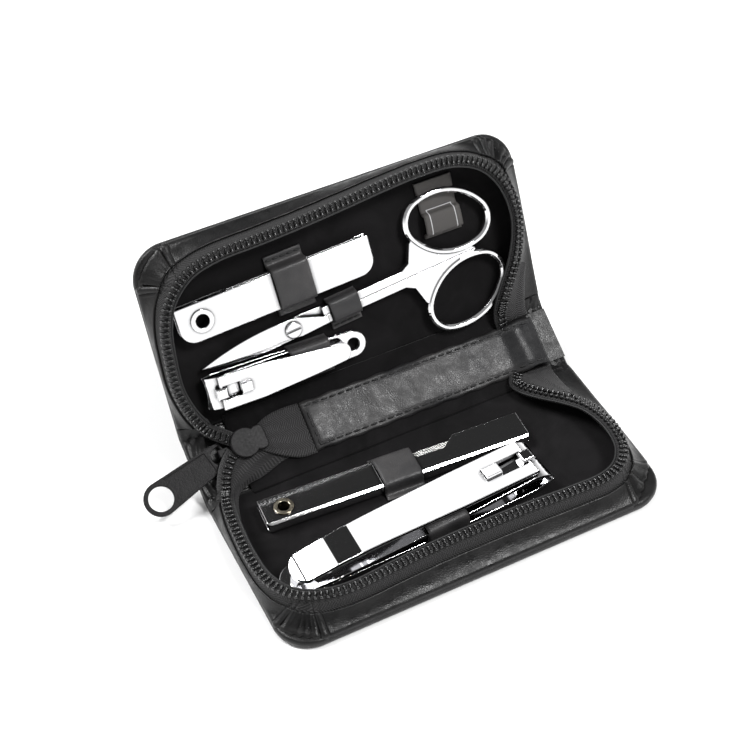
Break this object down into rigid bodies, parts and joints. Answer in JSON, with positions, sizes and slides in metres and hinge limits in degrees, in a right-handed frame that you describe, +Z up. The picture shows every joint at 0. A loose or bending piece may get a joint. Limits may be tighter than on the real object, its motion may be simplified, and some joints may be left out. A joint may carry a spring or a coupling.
{
  "type": "zipped manicure set case",
  "caption": "Leather zip case standing open on its base half, with scissors, folding comb, folding file and two lever nail clippers in loops.",
  "frame": {"origin": "centre of the base half's underside, on the surface that it stands on", "axes": "+X along the spine, +Y from the base half towards the lid half, +Z up"},
  "size_m": [0.1354, 0.1007, 0.0666],
  "materials": {
    "black_leather": "fine grained, satin",
    "black_velvet": "short pile",
    "black_webbing": "herringbone weave",
    "black_plastic": "moulded teeth",
    "black_metal": "matte black",
    "polished_steel": "mirror polish",
    "brushed_steel": "brushed",
    "brass": "dull"
  },
  "bodies": {
    "base": {"base_cover": "black_leather", "base_gusset": "black_leather", "base_zip_tape": "black_webbing", "base_lining": "black_velvet", "base_zip_teeth": "black_plastic", "file_loop": "black_leather", "big_clipper_loop": "black_leather"},
    "spine": {"spine_cover": "black_leather", "spine_lining": "black_velvet", "spine_end_tab": "black_leather", "spine_strip": "black_leather", "zip_end_web": "black_webbing"},
    "lid": {"lid_cover": "black_leather", "lid_gusset": "black_leather", "lid_zip_tape": "black_webbing", "lid_lining": "black_velvet", "lid_zip_teeth": "black_plastic", "comb_loop": "black_leather", "scissors_loop": "black_leather", "small_clipper_loop": "black_leather", "spare_loop": "black_leather"},
    "slider": {"zip_slider": "black_metal", "slider_bail": "black_metal"},
    "pull": {"zip_pull": "black_metal"},
    "comb_case": {"comb_handle": "polished_steel", "comb_eyelet": "brushed_steel"},
    "comb_leaf": {"comb_blade": "brushed_steel"},
    "scissors_lower": {"scissors_half_a": "polished_steel", "scissors_screw": "polished_steel"},
    "scissors_upper": {"scissors_half_b": "polished_steel"},
    "file_case": {"file_handle": "polished_steel", "file_eyelet": "brass"},
    "file_leaf": {"file_blade": "brushed_steel"},
    "small_jaws": {"small_clipper_lower_jaw": "polished_steel", "small_clipper_upper_jaw": "polished_steel", "small_clipper_rivet": "brushed_steel"},
    "small_post": {"small_clipper_pin": "brushed_steel"},
    "small_arm": {"small_clipper_lever": "polished_steel"},
    "big_jaws": {"big_clipper_lower_jaw": "polished_steel", "big_clipper_upper_jaw": "polished_steel", "big_clipper_rivet": "brushed_steel"},
    "big_post": {"big_clipper_pin": "brushed_steel"},
    "big_arm": {"big_clipper_lever": "polished_steel"}
  },
  "joints": [
    {"name": "spine_fold", "type": "hinge", "parent": "base", "child": "spine", "pos_m": [0, 0.0285, 0.0015], "axis": [-1, 0, 0], "range_deg": [-58, 32]},
    {"name": "lid_fold", "type": "hinge", "parent": "spine", "child": "lid", "pos_m": [0, 0.04631, 0.01263], "axis": [-1, 0, 0], "range_deg": [-58, 32]},
    {"name": "slider_run", "type": "slide", "parent": "spine", "child": "slider", "axis": [-0.9998, -0.0148, -0.0092], "range_m": [0, 0.004]},
    {"name": "pull_swing", "type": "hinge", "parent": "slider", "child": "pull", "pos_m": [-0.0495, 0.03731, 0.0106], "axis": [-0.2588, 0.8192, 0.5119], "range_deg": [0, 94]},
    {"name": "comb_out", "type": "slide", "parent": "lid", "child": "comb_case", "axis": [0, -0.8988, 0.4384], "range_m": [0, 0.15], "deforming": ["comb_loop"]},
    {"name": "comb_unfold", "type": "hinge", "parent": "comb_case", "child": "comb_leaf", "pos_m": [-0.0448, 0.05708, 0.04476], "axis": [0, -0.8988, 0.4384], "range_deg": [0, 180]},
    {"name": "scissors_out", "type": "slide", "parent": "lid", "child": "scissors_lower", "axis": [0, -0.6947, 0.7193], "range_m": [0, 0.125], "deforming": ["scissors_loop"]},
    {"name": "scissors_open", "type": "hinge", "parent": "scissors_lower", "child": "scissors_upper", "pos_m": [-0.0199, 0.05223, 0.03366], "axis": [0, 0.8988, -0.4384], "range_deg": [0, 38]},
    {"name": "file_out", "type": "slide", "parent": "base", "child": "file_case", "axis": [0, -0.2079, 0.9781], "range_m": [0, 0.225], "deforming": ["file_loop"]},
    {"name": "file_unfold", "type": "hinge", "parent": "file_case", "child": "file_leaf", "pos_m": [-0.0416, 0.0139, 0.0059], "axis": [0, 0, 1], "range_deg": [0, 180]},
    {"name": "small_clipper_out", "type": "slide", "parent": "lid", "child": "small_jaws", "axis": [0, -0.8988, 0.4384], "range_m": [0, 0.05], "deforming": ["small_clipper_loop"]},
    {"name": "small_lever_turn", "type": "hinge", "parent": "small_jaws", "child": "small_post", "pos_m": [-0.0455, 0.04899, 0.02474], "axis": [0, -0.8988, 0.4384], "range_deg": [0, 180]},
    {"name": "small_lever_lift", "type": "hinge", "parent": "small_post", "child": "small_arm", "pos_m": [-0.0455, 0.04396, 0.02719], "axis": [-0.0332, -0.4381, -0.8983], "range_deg": [0, 150]},
    {"name": "big_clipper_out", "type": "slide", "parent": "base", "child": "big_jaws", "axis": [0, 0, 1], "range_m": [0, 0.065], "deforming": ["big_clipper_loop"]},
    {"name": "big_lever_turn", "type": "hinge", "parent": "big_jaws", "child": "big_post", "pos_m": [0.02481, -0.00533, 0.0044], "axis": [0, 0, 1], "range_deg": [0, 180]},
    {"name": "big_lever_lift", "type": "hinge", "parent": "big_post", "child": "big_arm", "pos_m": [0.02481, -0.00533, 0.01235], "axis": [-0.0619, 0.9981, 0], "range_deg": [0, 150]}
  ],
  "couplings": [
    {"joint": "lid_fold", "follows": "spine_fold", "ratio": 1},
    {"joint": "comb_unfold", "follows": "comb_out", "rad_per_m": 20.944},
    {"joint": "scissors_open", "follows": "scissors_out", "rad_per_m": 5.3058},
    {"joint": "file_unfold", "follows": "file_out", "rad_per_m": 13.963},
    {"joint": "small_lever_turn", "follows": "small_lever_lift", "ratio": 1.2},
    {"joint": "big_lever_turn", "follows": "big_lever_lift", "ratio": 1.2}
  ]
}
